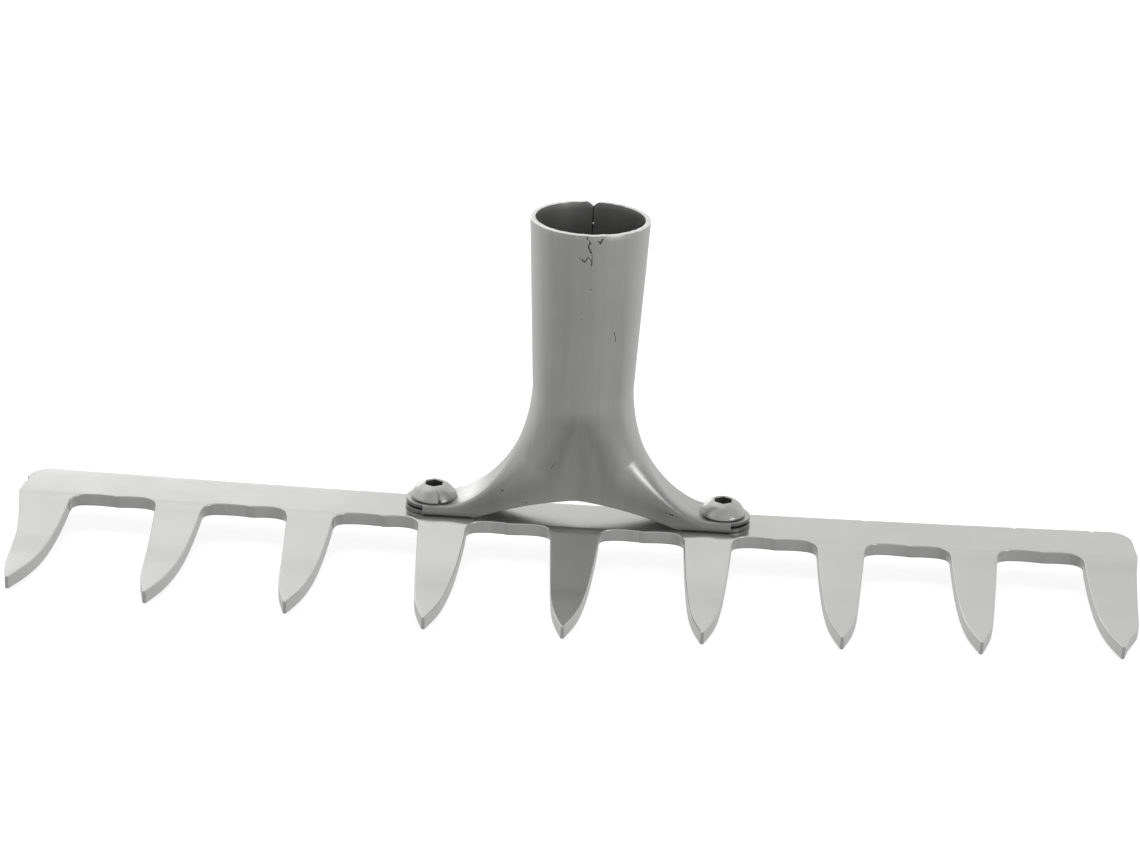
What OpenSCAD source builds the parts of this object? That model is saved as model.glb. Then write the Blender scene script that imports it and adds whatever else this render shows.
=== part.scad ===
// Garden rake head. Millimetres.
// The origin is the centre of the handle socket's mouth. +Z points up out of the mouth,
// X runs along the comb, and the teeth point to -Y.

/* [Comb] */
// number of teeth
tooth_count = 9; // [5:2:13]
// distance between the centre lines of two teeth
tooth_pitch = 40; // [32:0.5:44]
// length of the middle tooth, from gap root to tip
tooth_l = 52.1; // [40:0.1:60]
// width of a tooth at its root
tooth_w = 15.4; // [14:0.1:17]
// width that the two lines of a tooth's point leave at its end, before they are softened
tip_w = 2.4; // [2.2:0.1:2.8]
// widening of a tooth's half width per millimetre of its ground point
point_slope = 0.38; // [0.35:0.01:0.42]
// softness of the shoulder between the point and the flank
shoulder = 1; // [0.8:0.05:1.1]
// narrowing of a tooth's half width per millimetre of its straight flank
flank_taper = 0.08; // [0.06:0.0025:0.09]
// depth of the plate behind the gaps
band_w = 17.1; // [15:0.1:20]
// thickness of the plate
plate_t = 4; // [3:0.1:5]
// radius of the comb's back edge, whose ends curve towards the handle side
sweep_r = 3685; // [2500:5:8000]
// radius of the gap's inner corners
gap_corner_r = 5; // [2:0.1:6]
// radius of the plate's back corners
back_corner_r = 6.5; // [3:0.1:7]
// how far the comb's ends stand out past the outer teeth's flanks
end_flare = 2.1; // [0:0.1:3]
// length over which the teeth bend down below their roots
tooth_bend_l = 4.5; // [3:0.5:8]
// how steeply the teeth leave the plate, in degrees
tooth_fall = 26; // [22:0.1:28]
// radius of the long curve that brings the teeth level again
tooth_curl_r = 54; // [50:1:70]
// how much shorter the tooth is at 100 mm from the middle, as a fraction
shortening = 0.036; // [0:0.001:0.05]

/* [Socket] */
// height of the socket's mouth above the comb
socket_h = 94.5; // [85:0.5:110]
// thickness of the socket's sheet
sheet_t = 1.5; // [1.2:0.1:1.8]
// outer radius of the mouth
mouth_r = 17.6; // [17.4:0.1:19]
// outer radius of the neck above the flare
neck_r = 15.1; // [14:0.1:16]
// height of the neck above the comb
neck_h = 42; // [38:0.5:46]
// radius of the straight bore inside the mouth
bore_r = 16.1; // [15.9:0.05:16.3]
// length of the straight bore
bore_l = 9; // [6:0.5:12]
// distance from the comb's back edge to the socket's centre line
axis_inset = 8; // [7:0.1:9]
// width of the open seam at the back
seam_w = 0.5; // [0.3:0.1:1]
// depth of the notch at the top of the seam
notch_d = 1.6; // [1:0.1:3]
// length of the two ears together
ears_l = 105; // [100:0.5:110]
// width of an ear
ear_w = 16.4; // [16:0.1:17]
// gap between an ear's two layers
layer_gap = 0.4; // [0.2:0.1:0.6]
// length of that gap, from the end of the ear
layer_l = 17.5; // [15:0.5:19]
// height of the arch between the ears
arch_h = 8; // [6:0.1:10]
// width of the arch between the ears
arch_w = 64; // [56:0.5:68]

/* [Fasteners] */
// distance from a screw's centre line to the end of its ear
ear_end = 8.5; // [8:0.1:9.5]
// radius of a screw's shank
screw_r = 3.9; // [3.5:0.05:4]
// length of a screw under its head
screw_l = 10; // [8:0.5:12]
// radius of a screw's head
head_r = 6.9; // [6.5:0.1:7]
// height of a screw's head
head_h = 4.4; // [4:0.1:5]
// height of the upright band round the head's foot
head_band = 1.2; // [0.6:0.1:1.4]
// radius of the head's flat top
head_top_r = 3.3; // [3.1:0.1:3.6]
// width of the hex recess across its flats
hex_w = 5; // [4:0.1:5.2]
// depth of the hex recess
hex_d = 2.6; // [2:0.1:3]
// radius of the screw holes in the ears
hole_r = 4.4; // [4.2:0.05:4.6]
// radius of the tapped holes in the comb
tapped_r = 4; // [4:0.05:4.2]

/* [Hidden] */
$fn = 96;

plate_top = -socket_h;
back_y = axis_inset;
root_y = back_y - band_w;
last = (tooth_count - 1) / 2;
ear_t = 2 * sheet_t + layer_gap;
ear_b = ear_w / 2;
ring_n = 48;
rows_n = 12;
screw_pitch = ears_l - 2 * ear_end;
// cuts through the socket's walls reach this far from its centre line
cut_reach = mouth_r + 10;

function sweep(x) = sweep_r - sqrt(sweep_r * sweep_r - x * x);
function tooth_len(x) = tooth_l * (1 - shortening * x * x / 10000);
function tip_y(x) = root_y + sweep(x) - tooth_len(x);
// half width of a tooth, s millimetres from its tip: two straight lines and a soft shoulder
function half_w(s) = let (p = tip_w / 2 + point_slope * s,
    f = tooth_w / 2 - flank_taper * (tooth_l - s))
  (p + f - sqrt((p - f) ^ 2 + 4 * shoulder ^ 2)) / 2;
point_steps = [0, 2, 4, 6, 8, 10, 12.5, 15.5, 20, 27];

// where a flank meets the root of the gap beside it
function root_half(x, gap_y) = half_w(gap_y - tip_y(x));

// side = 1 is the flank that looks to +X
function flank(x, side) = [for (s = point_steps) [x + side * half_w(s), tip_y(x) + s]];

function arc(x, y, r, from, to, n) = [for (i = [0 : n]) let (a = from + (to - from) * i / n)
  [x + r * cos(a), y + r * sin(a)]];
function turn(list) = [for (i = [len(list) - 1 : -1 : 0]) list[i]];

// the root of the gap to the right of tooth i, with its two rounded corners
function gap_root(i) = let (xa = (i - last) * tooth_pitch, xb = xa + tooth_pitch,
    y = root_y + sweep((xa + xb) / 2), yc = y - gap_corner_r, slope = atan(flank_taper),
    ca = xa + root_half(xa, yc) + gap_corner_r / cos(slope),
    cb = xb - root_half(xb, yc) - gap_corner_r / cos(slope))
  concat(arc(ca, yc, gap_corner_r, 180 - slope, 90, 6), arc(cb, yc, gap_corner_r, 90, slope, 6));

module comb_outline() {
  xe = last * tooth_pitch;
  end_x = xe + tooth_w / 2 + end_flare;
  cx = end_x - back_corner_r;
  lean = asin(cx / (sweep_r + back_corner_r));
  cy = back_y + sweep_r - (sweep_r + back_corner_r) * cos(lean);
  tx = cx - back_corner_r * sin(lean);
  corner = arc(cx, cy, back_corner_r, 0, 90 + lean, 8);
  polygon(concat(
    [for (i = [0 : tooth_count - 1]) let (x = (i - last) * tooth_pitch)
      for (p = concat(turn(flank(x, -1)), flank(x, 1), i < tooth_count - 1 ? gap_root(i) : [])) p],
    [[end_x, root_y + sweep(xe)]],
    corner,
    [for (i = [1 : 23]) let (x = tx * (1 - i / 12)) [x, back_y + sweep(x)]],
    [for (p = turn(corner)) [-p[0], p[1]]],
    [[-end_x, root_y + sweep(xe)]]));
}

// how far a tooth lies below the plate, and its slope there, s millimetres from its root
function tooth_drop(s) = let (a = min(s, tooth_bend_l), b = min(s - a, tooth_curl_r * tan(tooth_fall)))
  tan(tooth_fall) * (a * a / (2 * tooth_bend_l) + b) - b * b / (2 * tooth_curl_r);
function tooth_lean(s) = let (a = min(s, tooth_bend_l), b = min(s - a, tooth_curl_r * tan(tooth_fall)))
  atan(tan(tooth_fall) * a / tooth_bend_l - b / tooth_curl_r);

// side view of the plate, drawn with Y to the right and Z up: flat, a bend down, then a curve back to level
module comb_side() {
  reach = tooth_l + 6;
  steps = concat([for (i = [0 : 4]) tooth_bend_l * i / 4],
    [for (i = [1 : 12]) tooth_bend_l + (reach - tooth_bend_l) * i / 12]);
  line = concat([[root_y + band_w + 20, 0, 0]],
    [for (s = steps) [root_y - s, -tooth_drop(s), tooth_lean(s)]]);
  polygon(concat([for (p = line) [p[0], p[1]]],
    [for (p = turn(line)) [p[0] + plate_t * sin(p[2]), p[1] - plate_t * cos(p[2])]]));
}

module comb() {
  color([0.74, 0.75, 0.76]) difference() {
    intersection() {
      translate([0, 0, plate_top - 40]) linear_extrude(height = 41) comb_outline();
      translate([-200, 0, plate_top]) rotate([90, 0, 90]) linear_extrude(height = 400) comb_side();
    }
    for (s = [-1, 1]) translate([s * screw_pitch / 2, 0, plate_top - plate_t - 1])
      cylinder(r = tapped_r, h = plate_t + 2);
  }
}

// side profile of the flare: a cubic curve from the neck to the top of the ear
function cubic(p, t) = (1 - t) ^ 3 * p[0] + 3 * t * (1 - t) ^ 2 * p[1]
  + 3 * t ^ 2 * (1 - t) * p[2] + t ^ 3 * p[3];
function cubic_dir(p, t) = (1 - t) ^ 2 * (p[1] - p[0]) + 2 * t * (1 - t) * (p[2] - p[1])
  + t ^ 2 * (p[3] - p[2]);
flare = [[neck_r - 0.1, neck_h + 0.6], [neck_r + 0.9, neck_h * 0.52],
  [neck_r + 12, ear_t + 3.1], [screw_pitch / 2 - 4.5, ear_t]];
function ease(u) = u * u * (3 - 2 * u);
function depth_at(z) = ear_b + (neck_r - 0.1 - ear_b)
  * ease(min(1, max(0, (z - ear_t) / (neck_h - ear_t))));

// one closed ring: straight sides that grow out of a circle, with squarer ends lower down
function ring(a, b, z) = [for (k = [0 : ring_n - 1])
  let (q = 360 * k / ring_n, s = a - b, m = min(1, s / 8),
    f = q < 45 || q >= 315 ? 0 : q < 135 ? 1 : q < 225 ? 2 : 3,
    local = f == 0 ? (q >= 315 ? q - 360 : q) : q - 90 * f,
    angle = f % 2 == 1 ? 90 * f : 90 * f + 2 * local,
    edge = f == 0 ? 1 : f == 2 ? -1 : f == 1 ? -local / 45 : local / 45,
    own = f == 0 ? local : q,
    w = own * (1 - m) + angle * m, e = 1 - 0.45 * min(1, s / 22))
  [s * edge + b * sign(cos(w)) * abs(cos(w)) ^ e, b * sign(sin(w)) * abs(sin(w)) ^ e, z]];

function outer_ring(i) = let (p = cubic(flare, i / rows_n))
  ring(p[0], depth_at(p[1]), p[1]);
function inner_ring(i) = let (p = cubic(flare, i / rows_n), d = cubic_dir(flare, i / rows_n),
    n = [-d[1], d[0]] / norm(d), z = p[1] - sheet_t * n[1] * 1.0)
  ring(p[0] - (sheet_t - 0.2 * (1 - i / rows_n)) * n[0],
    depth_at(z) - sheet_t + 0.2 * (1 - i / rows_n), i == 0 ? neck_h + 0.6 : z);

module flare_shell() {
  rows = concat([for (i = [0 : rows_n]) outer_ring(i)],
    [ring(screw_pitch / 2 - 4.6, ear_b - 0.1, ear_t - 0.7)],
    [for (i = [rows_n : -1 : 0]) inner_ring(i)]);
  n = len(rows);
  polyhedron(
    points = [for (r = rows) for (p = r) p],
    faces = [for (j = [0 : n - 1]) for (k = [0 : ring_n - 1]) for (h = [0, 1])
      let (a = j * ring_n + k, b = j * ring_n + (k + 1) % ring_n,
        c = ((j + 1) % n) * ring_n + k, d = ((j + 1) % n) * ring_n + (k + 1) % ring_n)
      h == 0 ? [a, b, d] : [a, d, c]]);
}

module stadium(l, w, h) {
  translate([-(l - w) / 2, -w / 2, 0]) cube([l - w, w, h]);
  for (s = [-1, 1]) translate([s * (l - w) / 2, 0, 0]) cylinder(r = w / 2, h = h);
}

module arch_cut() {
  steps = 16;
  rotate([90, 0, 0]) translate([0, 0, -cut_reach]) linear_extrude(height = 2 * cut_reach) polygon(concat(
    [[-arch_w / 2, -1]],
    [for (i = [0 : steps]) let (u = 2 * i / steps - 1)
      [u * arch_w / 2, arch_h * (1 - abs(u) ^ 1.6)]],
    [[arch_w / 2, -1]]));
}

module socket_body() {
  difference() {
    translate([0, 0, neck_h]) cylinder(r1 = neck_r, r2 = mouth_r, h = socket_h - neck_h);
    translate([0, 0, neck_h - 1]) cylinder(
      r1 = neck_r - sheet_t - (mouth_r - neck_r) / (socket_h - neck_h),
      r2 = mouth_r - sheet_t + (mouth_r - neck_r) / (socket_h - neck_h), h = socket_h - neck_h + 2);
  }
  flare_shell();
  difference() {
    stadium(ears_l, ear_w, ear_t);
    translate([0, 0, -1]) stadium(2 * (screw_pitch / 2 - 6.5), ear_w - 2 * sheet_t, ear_t + 2);
  }
}

module socket() {
  color([0.55, 0.55, 0.56]) translate([0, 0, plate_top]) difference() {
    socket_body();
    translate([0, 0, socket_h - bore_l]) cylinder(r = bore_r, h = bore_l + 1);
    arch_cut();
    // the open seam and its notch
    translate([-seam_w / 2, 2, -1]) cube([seam_w, cut_reach, socket_h + 2]);
    translate([0, cut_reach, socket_h]) rotate([90, 45, 0])
      translate([-notch_d / sqrt(2), -notch_d / sqrt(2), 0])
      cube([notch_d * sqrt(2), notch_d * sqrt(2), cut_reach - 5]);
    for (s = [-1, 1]) {
      translate([s * screw_pitch / 2, 0, -1]) cylinder(r = hole_r, h = ear_t + 2);
      mirror([s < 0 ? 1 : 0, 0, 0]) translate([ears_l / 2 - layer_l, -ear_b + sheet_t, sheet_t])
        cube([layer_l + 1, ear_w - 2 * sheet_t, layer_gap]);
    }
  }
}

module screw(s) {
  rise = head_h - head_band;
  dome = [for (i = [0 : 10]) let (u = i / 10)
    [head_r + (head_top_r - head_r) * u + 0.42 * sin(180 * u) * rise / head_r,
      head_band + rise * u + 0.42 * sin(180 * u)]];
  color([0.72, 0.72, 0.73]) translate([s * screw_pitch / 2, 0, plate_top + ear_t]) {
    difference() {
      rotate_extrude() polygon(concat([[0, -screw_l], [screw_r - 0.7, -screw_l],
        [screw_r, -screw_l + 0.7], [screw_r, 0], [head_r, 0]], dome, [[0, head_h]]));
      translate([0, 0, head_h - hex_d]) rotate(30)
        cylinder(r = hex_w / sqrt(3), h = hex_d + 1, $fn = 6);
    }
  }
}

module left_screw() { screw(-1); }
module right_screw() { screw(1); }

comb();
socket();
left_screw();
right_screw();
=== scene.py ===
from math import asin, atan2, cos, exp, pi, radians, sin, sqrt, tan, tau

import bmesh
import bpy
from mathutils import Matrix, Vector, noise


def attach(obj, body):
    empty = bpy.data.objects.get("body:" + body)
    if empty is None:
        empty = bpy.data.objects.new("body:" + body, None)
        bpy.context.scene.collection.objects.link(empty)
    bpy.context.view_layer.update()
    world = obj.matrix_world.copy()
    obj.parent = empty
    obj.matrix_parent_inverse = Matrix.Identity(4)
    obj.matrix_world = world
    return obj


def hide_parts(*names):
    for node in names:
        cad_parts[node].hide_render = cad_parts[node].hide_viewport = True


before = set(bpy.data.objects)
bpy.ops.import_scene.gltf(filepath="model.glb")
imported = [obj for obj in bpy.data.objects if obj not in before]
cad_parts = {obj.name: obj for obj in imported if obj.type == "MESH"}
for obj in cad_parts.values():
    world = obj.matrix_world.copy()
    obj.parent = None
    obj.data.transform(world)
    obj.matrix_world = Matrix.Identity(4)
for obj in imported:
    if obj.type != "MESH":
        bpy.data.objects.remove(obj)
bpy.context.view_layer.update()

# Sizes are in millimetres, and the origin is the centre of the socket's mouth.
MM = 0.001
PLATE_TOP = -94.5

# comb
TEETH = 9
PITCH = 40.0
BAND = 17.1
PLATE = 4.0
BACK_Y = 8.0
ROOT_Y = BACK_Y - BAND
SWEEP_RADIUS = 3685.0
BACK_CORNER = 6.5
GAP_CORNER = 5.0
ROLLOVER = 0.4
TOOTH_LENGTH = 51.3
TOOTH_WIDTH = 15.4
TIP_WIDTH = 1.6
# how much shorter a tooth is at 100 mm from the middle, as a share
SHORTENING = 0.036
# growth of a tooth's half width along its point and along its flank, and the softness between them
POINT_SLOPE = 0.38
FLANK_TAPER = 0.08
SHOULDER = 1.0
# where a flank has its vertices, from the tooth's point up, and how many more follow up to the gap's corner
FLANK_PLACES = [float(k) for k in range(12)] + [12.5, 14.5, 17.0, 20.0, 24.0]
UPPER_PLACES = 6
# places along each half of the back edge
BACK_PLACES = 24
# how far the comb's ends stand out, and where that starts and is full on the outer teeth, from the point up
END_FLARE = 2.1
FLARE_SPAN = {(0, -1): (27.0, 47.0), (TEETH - 1, 1): (4.0, 16.0)}
# the side curve of the teeth: a short bend down, then a long curve back to level
BEND_LENGTH = 4.5
TOOTH_FALL = 25.5
CURL_RADIUS = 54.0
# cuts across the flat plate that let it follow the curve
BEND_CUTS = 52
CUT_STEP = 1.1
# a face whose normal rises less than this belongs to the cut edge
UPRIGHT = 0.35
# how far each hand-finished point strays from its place: sideways, and longer
POINT_STRAY = [(-1.3, -0.6), (-0.6, 0.0), (-0.1, -1.5), (0.1, 1.6), (-0.3, 1.6),
               (-0.7, 0.3), (-0.9, -0.4), (-1.1, 0.0), (-0.4, 1.1)]
# where the two punch strokes meet in each gap: sideways from the middle, and the step's depth
STROKES = [(-0.4, 0.5), (0.5, 0.55), (1.0, 0.6), (-1.2, 0.6),
           (-0.4, 0.55), (-0.6, 0.6), (0.1, 0.5), (0.5, 0.45)]
# how far from there the first stroke ends and the second starts, and how much of the step is left by then
STROKE_END = 1.6
STROKE_START = 1.4
STEP_LEFT = 0.92
ROOT_BOW = 0.25
# nicks in the back edge, as place and depth, and the ragged left end, as (inward, y)
BACK_NICKS = [(88.0, 0.5), (134.0, 0.6), (158.0, 0.7)]
LEFT_END = [(-0.1, 4.6), (0.75, 3.6), (0.8, 1.6), (-0.1, 0.6)]

# socket
SOCKET_HEIGHT = 94.5
NECK_HEIGHT = 42.0
MOUTH_RADIUS = 17.6
NECK_RADIUS = 15.1
SHEET = 1.5
EAR_HEIGHT = 3.4
EAR_HALF = 8.2
EAR_TIP = 52.4
TIP_HALF = 7.2
# the round of the fold along an ear's edges, and where the fold ends
FOLD_RADIUS = 1.7
FOLD_END = 46.6
# where an ear's upper and lower flat layers start, out of sight in the fold, and how far their edges are broken
UPPER_START = 40.0
LOWER_START = 34.0
SOFT_EDGE = 0.25
ARCH_HEIGHT = 8.0
ARCH_HALF = 32.0
# control points of the flare's side line, as (x, height above the comb)
FLARE = [(NECK_RADIUS, NECK_HEIGHT), (NECK_RADIUS + 0.7, NECK_HEIGHT * 0.5), (28.0, 4.7), (39.5, EAR_HEIGHT)]
PIVOT_X = FLARE[3][0]
# the hollow down the middle of the front
VALLEY = 0.6
VALLEY_HALF = 4.0
# the open seam, the notch on top of it, and the weld drop inside
SEAM_HALF = 0.03
NOTCH = 1.5
NOTCH_HALF = 1.9
BEAD = (0.2, 15.75, -6.6)
BEAD_RADIUS = 0.42
# how far the rim and the wall are out of true, and the height above which each of them is
RIM_WANDER, RIM_ZONE = 0.14, -2.0
WALL_WAVE, WAVE_ZONE = 0.12, -60.0
LIP = 0.3
# faces over a quarter of the way round, and rows of them down the tube and the flare and along the ear
COLUMNS = 48
TUBE_ROWS = 18
FLARE_ROWS = 64
EAR_ROWS = 6

# fasteners
SCREW_X = 44.0
HEAD_RADIUS = 6.9
HEAD_HEIGHT = 4.4
HEAD_BAND = 1.2
HEAD_TOP = 3.3
HEAD_BULGE = 0.42
HEX_WIDTH = 5.0
HEX_DEPTH = 2.6
SHANK_RADIUS = 3.9
SCREW_LENGTH = 10.0
THREAD_PITCH = 1.25
RIDGE = 0.42
TAPPED_RADIUS = 4.0
# half the angle that the nick in a head takes up
NICK_HALF = 0.075
# the radius of a ring that closes a turned form at its axis
POLE = 0.0004


# ---------------------------------------------------------------- mesh helpers

def ease(u):
    u = min(1.0, max(0.0, u))
    return u * u * (3.0 - 2.0 * u)


def make_piece(name, points, faces, smooth_angle=30.0):
    mesh = bpy.data.meshes.new(name)
    mesh.from_pydata([(x * MM, y * MM, z * MM) for x, y, z in points], [], faces)
    mesh.validate()
    return finish_mesh(name, mesh, smooth_angle)


def finish_mesh(name, mesh, smooth_angle=30.0):
    mesh.shade_smooth()
    mesh.set_sharp_from_angle(angle=radians(smooth_angle))
    piece = bpy.data.objects.new(name, mesh)
    bpy.context.scene.collection.objects.link(piece)
    return piece


def edit(piece, work):
    tool = bmesh.new()
    tool.from_mesh(piece.data)
    work(tool)
    tool.to_mesh(piece.data)
    tool.free()


def weld(piece, gap=0.00002):
    def work(tool):
        bmesh.ops.remove_doubles(tool, verts=tool.verts, dist=gap)
        bmesh.ops.dissolve_degenerate(tool, edges=tool.edges, dist=gap / 4)
        bmesh.ops.recalc_face_normals(tool, faces=tool.faces)
    edit(piece, work)


def apply_modifiers(piece, smooth_angle=30.0):
    """Turns the piece with its modifiers into a plain mesh."""
    shaped = piece.evaluated_get(bpy.context.evaluated_depsgraph_get())
    mesh = bpy.data.meshes.new_from_object(shaped)
    piece.modifiers.clear()
    old = piece.data
    piece.data = mesh
    bpy.data.meshes.remove(old)
    if smooth_angle:
        mesh.shade_smooth()
        mesh.set_sharp_from_angle(angle=radians(smooth_angle))


def join_meshes(name, pieces, smooth_angle=30.0):
    tool = bmesh.new()
    for piece in pieces:
        tool.from_mesh(piece.data)
    mesh = bpy.data.meshes.new(name)
    tool.to_mesh(mesh)
    tool.free()
    for piece in pieces:
        bpy.data.objects.remove(piece)
    return finish_mesh(name, mesh, smooth_angle)


class Tree:
    """A geometry node tree with named sizes, built node by node."""

    def __init__(self, name):
        self.group = bpy.data.node_groups.new(name, "GeometryNodeTree")
        for way in ("INPUT", "OUTPUT"):
            self.group.interface.new_socket("Geometry", in_out=way, socket_type="NodeSocketGeometry")
        self.start = self.group.nodes.new("NodeGroupInput")
        self.end = self.group.nodes.new("NodeGroupOutput")
        self.values = {}

    def size(self, name, value):
        entry = self.group.interface.new_socket(name, in_out="INPUT", socket_type="NodeSocketFloat")
        entry.default_value = value
        self.values[entry.identifier] = value
        return next(out for out in self.start.outputs if out.identifier == entry.identifier)

    def feed(self, socket, value):
        if isinstance(value, bpy.types.NodeSocket):
            self.group.links.new(value, socket)
        else:
            socket.default_value = value

    def add(self, kind, **inputs):
        node = self.group.nodes.new(kind)
        for name, value in inputs.items():
            self.feed(node.inputs[name.replace("_", " ")], value)
        return node

    def math(self, kind, a, b=None):
        node = self.group.nodes.new("ShaderNodeMath")
        node.operation = kind
        self.feed(node.inputs[0], a)
        if b is not None:
            self.feed(node.inputs[1], b)
        return node.outputs[0]

    def finish(self, shape, *materials):
        """Ends the tree. Each material comes alone or with the selection of faces that it covers."""
        shape = self.add("GeometryNodeRealizeInstances", Geometry=shape).outputs[0]
        for material in materials:
            material, faces = material if isinstance(material, tuple) else (material, True)
            node = self.add("GeometryNodeSetMaterial", Geometry=shape, Selection=faces)
            node.inputs["Material"].default_value = material
            shape = node.outputs[0]
        self.feed(self.end.inputs[0], shape)

    def shape(self, piece):
        modifier = piece.modifiers.new(self.group.name, "NODES")
        modifier.node_group = self.group
        for identifier, value in self.values.items():
            modifier[identifier] = value


def dress(piece, material, slot_name, *nodes):
    if material:
        piece.data.materials.clear()
        piece.data.materials.append(material)
    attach(piece, "root")
    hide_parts(*nodes)


def paint(piece, material, chosen):
    """Gives one more material to the faces that chosen picks."""
    piece.data.materials.append(material)
    for face in piece.data.polygons:
        if chosen(face):
            face.material_index = len(piece.data.materials) - 1


# ---------------------------------------------------------------- comb

def sweep(x):
    return SWEEP_RADIUS - sqrt(SWEEP_RADIUS ** 2 - x * x)


def tooth_x(i):
    return (i - (TEETH - 1) / 2) * PITCH


def tooth_length(x):
    return TOOTH_LENGTH * (1.0 - SHORTENING * x * x / 10000.0)


def half_width(s):
    """Half width of a tooth, s millimetres from its point: two straight lines and a soft shoulder."""
    point = TIP_WIDTH / 2 + POINT_SLOPE * s
    flank = TOOTH_WIDTH / 2 - FLANK_TAPER * (TOOTH_LENGTH - s)
    return (point + flank - sqrt((point - flank) ** 2 + 4 * SHOULDER ** 2)) / 2


def tooth_flank(i, side, top_s):
    """Points of one flank from the point of the tooth up to top_s."""
    x = tooth_x(i)
    aside, longer = POINT_STRAY[i]
    length = tooth_length(x) + longer
    tip_y = ROOT_Y + sweep(x) - length
    highest = FLANK_PLACES[-1]
    places = FLANK_PLACES + [highest + (top_s - highest) * k / UPPER_PLACES for k in range(1, UPPER_PLACES + 1)]
    low, full = FLARE_SPAN.get((i, side), (length, length + 1.0))
    return [(x + aside * max(0.0, 1.0 - s / length) ** 1.3
             + side * (half_width(s) + END_FLARE * ease((s - low) / (full - low))), tip_y + s) for s in places]


def arc(x, y, r, start, end, n):
    turns = [start + (end - start) * k / n for k in range(n + 1)]
    return [(x + r * cos(turn), y + r * sin(turn)) for turn in turns]


def gap_root(i):
    """The root of the gap right of tooth i: two round corners and the step between the punch strokes."""
    xa, xb = tooth_x(i), tooth_x(i + 1)
    y = ROOT_Y + sweep((xa + xb) / 2)
    slope = atan2(FLANK_TAPER, 1.0)
    depth = y - GAP_CORNER
    half_a, half_b = (half_width(depth - (ROOT_Y + sweep(x) - tooth_length(x))) for x in (xa, xb))
    ca = xa + half_a + GAP_CORNER / cos(slope)
    cb = xb - half_b - GAP_CORNER / cos(slope)
    aside, step = STROKES[i]
    middle = (xa + xb) / 2 + aside
    line = arc(ca, depth, GAP_CORNER, pi - slope, pi / 2, 9)
    shares = [k / 8 for k in range(1, 8)]
    line += [(ca + (middle - STROKE_END - ca) * u, y + ROOT_BOW * sin(pi * u) - 0.12 * u) for u in shares]
    line += [(middle - 0.5, y - 0.1), (middle + 0.35, y - step), (middle + STROKE_START, y - step * STEP_LEFT)]
    line += [(middle + STROKE_START + (cb - middle - STROKE_START) * u,
              y - step * STEP_LEFT * (1 - u) ** 1.5 + ROOT_BOW * sin(pi * u) * 0.6) for u in shares]
    return line + arc(cb, depth, GAP_CORNER, pi / 2, slope, 9)


def comb_outline():
    last = tooth_x(TEETH - 1)
    end_x = last + TOOTH_WIDTH / 2 + END_FLARE
    cx = end_x - BACK_CORNER
    lean = asin(cx / (SWEEP_RADIUS + BACK_CORNER))
    cy = BACK_Y + SWEEP_RADIUS - (SWEEP_RADIUS + BACK_CORNER) * cos(lean)
    back_end = cx - BACK_CORNER * sin(lean)
    corner = arc(cx, cy, BACK_CORNER, 0.0, pi / 2 + lean, 10)
    line = []
    for i in range(TEETH):
        top_s = tooth_length(tooth_x(i)) - GAP_CORNER - 0.6
        line += list(reversed(tooth_flank(i, -1, top_s))) + tooth_flank(i, 1, top_s)
        if i < TEETH - 1:
            line += gap_root(i)
    line.append((end_x, ROOT_Y + sweep(last)))
    line += corner
    for k in range(1, 2 * BACK_PLACES):
        x = back_end * (1 - k / BACK_PLACES)
        line.append((x, BACK_Y + sweep(x)))
    line += [(-x, y) for x, y in reversed(corner)][:-1]
    # the left end was cut a little ragged
    line += [(-end_x + inward, y) for inward, y in LEFT_END]
    line.append((-end_x, ROOT_Y + sweep(last)))
    return line


def nicked(line):
    """Small nicks along the back edge."""
    for place, depth in BACK_NICKS:
        y = BACK_Y + sweep(place)
        line = [(px, py) for px, py in line if py < 0 or abs(px - place) > 0.9]
        at = next(k for k in range(1, len(line)) if line[k][1] > 4 and line[k - 1][0] > place > line[k][0])
        line[at:at] = [(place + 0.7, y), (place + 0.25, y - depth),
                       (place - 0.35, y - depth * 0.8), (place - 0.7, y)]
    return line


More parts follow.
